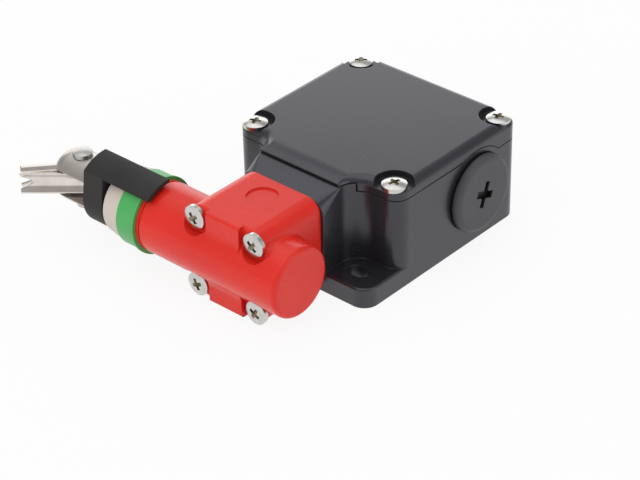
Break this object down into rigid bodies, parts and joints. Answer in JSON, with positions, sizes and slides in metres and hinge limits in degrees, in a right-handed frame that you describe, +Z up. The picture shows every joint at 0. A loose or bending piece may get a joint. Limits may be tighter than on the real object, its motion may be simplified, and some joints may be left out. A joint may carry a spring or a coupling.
{
  "type": "rope pull switch",
  "caption": "Rope pull switch: die-cast housing with screwed lid and blanked cable entries, a cross-tube head, and a sprung pull rod with indicator tongue, clevis and swinging rope thimble.",
  "frame": {"origin": "on the mounting plane, midway between the two fixing slots of the foot", "axes": "+Z up from the mounting plane, +Y from the head to the back of the housing, -X the way the rope pulls"},
  "size_m": [0.1195, 0.1073, 0.0352],
  "materials": {
    "dark_paint": "glossy dark grey powder coat on die-cast metal",
    "red_paint": "glossy red paint on die-cast metal",
    "green_plastic": "glossy green moulding",
    "bush_plastic": "satin grey-beige moulding",
    "black_plastic": "fine matt black moulding",
    "plug_plastic": "matt dark grey moulding",
    "block_plastic": "matt moulding",
    "seal_rubber": "black sealing rubber",
    "plated_screw": "bright zinc plate",
    "clevis_nickel": "satin nickel plate",
    "thimble_steel": "bright stainless steel",
    "rod_steel": "ground steel",
    "spring_steel": "drawn spring wire",
    "bush_brass": "turned brass",
    "contact_brass": "stamped brass"
  },
  "bodies": {
    "switch_body": {"housing": "dark_paint", "lid": "dark_paint", "lid_gasket": "seal_rubber", "lid_screws": "plated_screw", "conduit_plug_right": "plug_plastic", "conduit_plug_left": "plug_plastic", "plug_seals": "seal_rubber", "head_body": "red_paint", "head_gasket": "seal_rubber", "head_screws": "plated_screw", "green_ring": "green_plastic", "front_bush": "bush_plastic", "rod_seal": "seal_rubber", "return_spring": "spring_steel", "plunger_guide": "bush_brass", "plunger_seal": "seal_rubber", "contact_block_base": "block_plastic", "contact_block_screws": "plated_screw", "fixed_contacts": "contact_brass", "terminal_clamps": "plated_screw", "terminal_screws": "plated_screw", "earth_screw": "plated_screw", "contact_spring": "spring_steel"},
    "pull_assembly": {"pull_rod": "rod_steel", "cam_sleeve": "rod_steel", "spring_seat": "rod_steel", "lock_nut": "plated_screw", "clevis": "clevis_nickel", "clevis_pin": "clevis_nickel", "indicator": "black_plastic"},
    "thimble": {"rope_thimble": "thimble_steel"},
    "plunger_assembly": {"head_plunger": "rod_steel", "contact_slider": "black_plastic", "contact_bridges": "contact_brass"}
  },
  "joints": [
    {"name": "pull_slide", "type": "slide", "parent": "switch_body", "child": "pull_assembly", "axis": [-1, 0, 0], "range_m": [0, 0.015], "stiffness_N_per_m": 2500, "springref_m": -0.01, "deforming": ["return_spring"]},
    {"name": "thimble_swing", "type": "hinge", "parent": "pull_assembly", "child": "thimble", "pos_m": [-0.0676, -0.0258, 0.016], "axis": [0, 0, 1], "range_deg": [-134, 46]},
    {"name": "plunger_slide", "type": "slide", "parent": "switch_body", "child": "plunger_assembly", "axis": [0, 1, 0], "range_m": [0, 0.003], "deforming": ["contact_spring"]}
  ],
  "couplings": [
    {"joint": "plunger_slide", "follows": "pull_slide", "ratio": 0.2}
  ]
}
